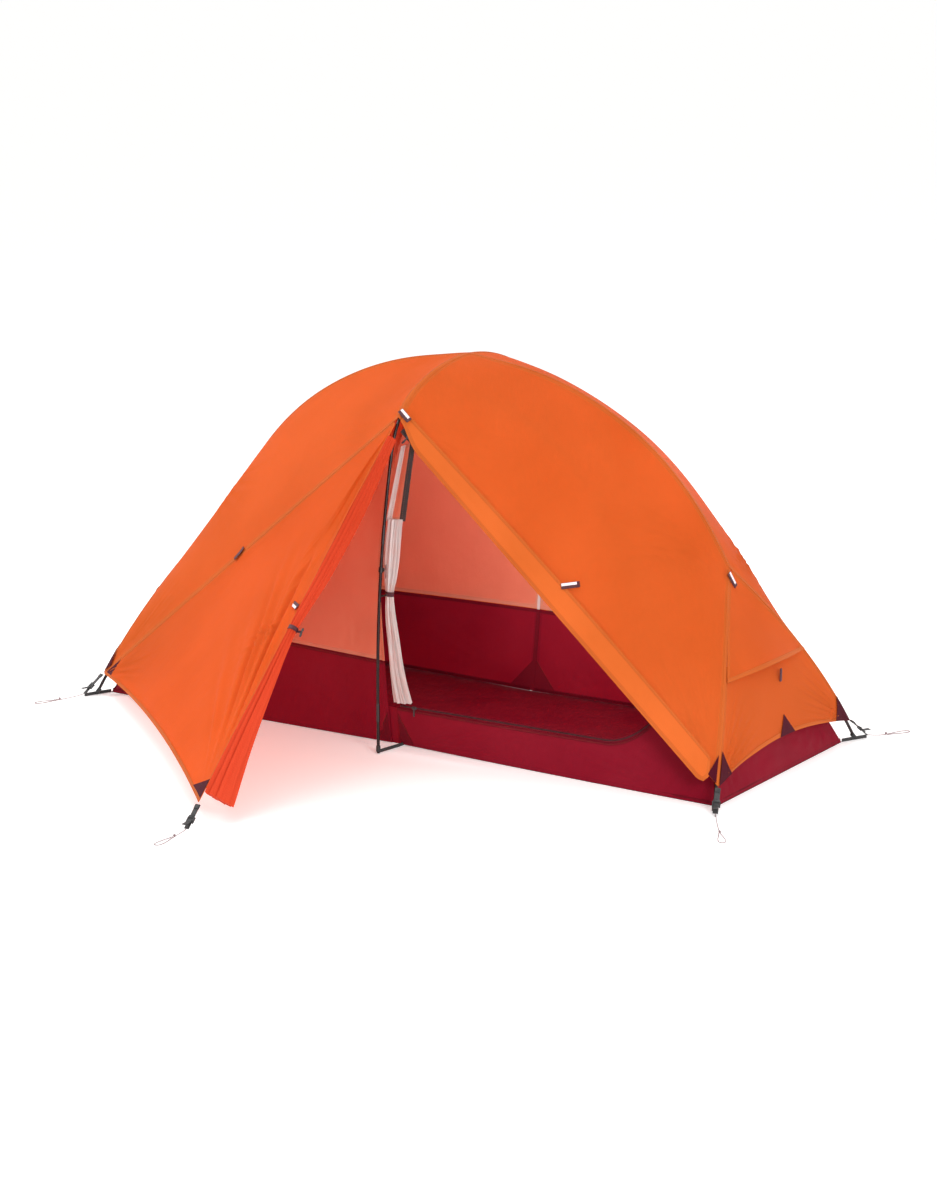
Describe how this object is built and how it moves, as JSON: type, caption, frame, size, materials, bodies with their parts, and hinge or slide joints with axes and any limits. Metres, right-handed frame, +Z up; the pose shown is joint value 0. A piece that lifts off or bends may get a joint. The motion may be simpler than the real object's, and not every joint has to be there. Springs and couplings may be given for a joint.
{
  "type": "one-person tent on poles",
  "caption": "One-person tent pitched on a ridge pole with forked ends and a cross hoop, with a fly, a porch and a floor tub; the door is rolled back.",
  "frame": {"origin": "centre of the floor's underside, on the ground", "axes": "+X along the tent's length, -Y towards the door and the porch, +Z up"},
  "size_m": [2.4611, 2.1103, 1.0924],
  "materials": {
    "pole": "satin black anodised aluminium tube",
    "black_plastic": "moulded black plastic",
    "fly_cloth": "orange coated nylon, slightly see-through",
    "tub_cloth": "dark red coated nylon",
    "canopy_cloth": "thin white ripstop that takes the colour of the fly",
    "mesh_cloth": "pale mesh and ripstop, rolled",
    "zip_tape": "woven zip tape with moulded teeth",
    "zip_metal": "black painted metal",
    "webbing": "woven black webbing",
    "cord": "braided grey-pink cord"
  },
  "bodies": {
    "tent": {"ridge_pole": "pole", "hoop_pole": "pole", "leg_pole_right_front": "pole", "leg_pole_right_back": "pole", "leg_pole_left_front": "pole", "leg_pole_left_back": "pole", "hub_right": "black_plastic", "hub_left": "black_plastic", "fly_front_right": "fly_cloth", "fly_back_right": "fly_cloth", "fly_front_left": "fly_cloth", "fly_back_left": "fly_cloth", "porch_panel": "fly_cloth", "vent_hood_right": "fly_cloth", "fly_end_right": "fly_cloth", "vent_hood_left": "fly_cloth", "fly_end_left": "fly_cloth", "floor": "tub_cloth", "tub_end_right": "tub_cloth", "canopy_end_right": "canopy_cloth", "canopy_back_right": "canopy_cloth", "tub_end_left": "tub_cloth", "canopy_end_left": "canopy_cloth", "canopy_back_left": "canopy_cloth", "tub_back": "tub_cloth", "tub_front_left": "tub_cloth", "canopy_front_left": "canopy_cloth", "tub_front_right": "tub_cloth", "canopy_front_right": "canopy_cloth", "porch_door_rolled": "fly_cloth", "inner_door_rolled": "mesh_cloth", "porch_zip_tape": "zip_tape", "door_zip_tape": "zip_tape", "storm_flap": "fly_cloth", "strap_right_front": "webbing", "cord_right_front": "cord", "strap_right_back": "webbing", "cord_right_back": "cord", "strap_left_front": "webbing", "cord_left_front": "cord", "strap_left_back": "webbing", "cord_left_back": "cord", "strap_porch": "webbing", "cord_porch": "cord", "crossing_clip": "black_plastic"},
    "porch_zip_slider": {"porch_zip_slider": "zip_metal"},
    "porch_zip_pull": {"porch_zip_pull": "zip_metal"},
    "door_zip_slider": {"door_zip_slider": "zip_metal"},
    "door_zip_pull": {"door_zip_pull": "zip_metal"},
    "buckle_right_front": {"buckle_right_front": "black_plastic"},
    "buckle_right_back": {"buckle_right_back": "black_plastic"},
    "buckle_left_front": {"buckle_left_front": "black_plastic"},
    "buckle_left_back": {"buckle_left_back": "black_plastic"},
    "buckle_porch": {"buckle_porch": "black_plastic"},
    "vent_strut_right": {"vent_strut_right": "tub_cloth"},
    "vent_strut_left": {"vent_strut_left": "tub_cloth"},
    "porch_toggle": {"porch_toggle": "black_plastic"},
    "door_toggle": {"door_toggle": "black_plastic"},
    "hoop_clip_front": {"hoop_clip_front": "black_plastic"},
    "hoop_clip_back": {"hoop_clip_back": "black_plastic"}
  },
  "joints": [
    {"name": "porch_zip_slider_slide", "type": "slide", "parent": "tent", "child": "porch_zip_slider", "axis": [0.7653, -0.0271, -0.6432], "range_m": [0, 1.18]},
    {"name": "porch_zip_pull_turn", "type": "hinge", "parent": "porch_zip_slider", "child": "porch_zip_pull", "pos_m": [0.0537, -0.36852, 0.90488], "axis": [-0.7653, 0.0271, 0.6432], "range_deg": [0, 105]},
    {"name": "door_zip_slider_slide", "type": "slide", "parent": "tent", "child": "door_zip_slider", "axis": [0.9995, 0.0301, 0], "range_m": [0, 0.56]},
    {"name": "door_zip_pull_turn", "type": "hinge", "parent": "door_zip_slider", "child": "door_zip_pull", "pos_m": [0.08116, -0.38473, 0.1255], "axis": [-0.9995, -0.0301, 0], "range_deg": [0, 105]},
    {"name": "buckle_right_front_slide", "type": "slide", "parent": "tent", "child": "buckle_right_front", "axis": [0.2988, -0.7033, -0.645], "range_m": [-0.02, 0.012]},
    {"name": "buckle_right_back_slide", "type": "slide", "parent": "tent", "child": "buckle_right_back", "axis": [0.2779, 0.7137, -0.643], "range_m": [-0.02, 0.012]},
    {"name": "buckle_left_front_slide", "type": "slide", "parent": "tent", "child": "buckle_left_front", "axis": [-0.2631, -0.7258, -0.6356], "range_m": [-0.02, 0.012]},
    {"name": "buckle_left_back_slide", "type": "slide", "parent": "tent", "child": "buckle_left_back", "axis": [-0.3233, 0.6975, -0.6395], "range_m": [-0.02, 0.012]},
    {"name": "buckle_porch_slide", "type": "slide", "parent": "tent", "child": "buckle_porch", "axis": [0.0361, -0.7202, -0.6928], "range_m": [-0.02, 0.012]},
    {"name": "vent_strut_right_turn", "type": "hinge", "parent": "tent", "child": "vent_strut_right", "pos_m": [1.0251, 0.0499, 0.286], "axis": [0, -1, 0], "range_deg": [0, 70]},
    {"name": "vent_strut_left_turn", "type": "hinge", "parent": "tent", "child": "vent_strut_left", "pos_m": [-1.01422, 0.04991, 0.286], "axis": [0, 1, 0], "range_deg": [0, 70]},
    {"name": "porch_toggle_turn", "type": "hinge", "parent": "tent", "child": "porch_toggle", "pos_m": [0.04917, -0.86811, 0.44413], "axis": [0.0578, -0.866, 0.4968], "range_deg": [-35, 35]},
    {"name": "door_toggle_turn", "type": "hinge", "parent": "tent", "child": "door_toggle", "pos_m": [0.014, -0.435, 0.457], "axis": [0, -1, 0], "range_deg": [-35, 35]},
    {"name": "hoop_clip_front_turn", "type": "hinge", "parent": "tent", "child": "hoop_clip_front", "pos_m": [0.012, -0.44491, 0.53309], "axis": [0, 0.1132, 0.9936], "range_deg": [-12, 12]},
    {"name": "hoop_clip_back_turn", "type": "hinge", "parent": "tent", "child": "hoop_clip_back", "pos_m": [0.012, 0.44491, 0.53309], "axis": [0, -0.1132, 0.9936], "range_deg": [-12, 12]}
  ]
}
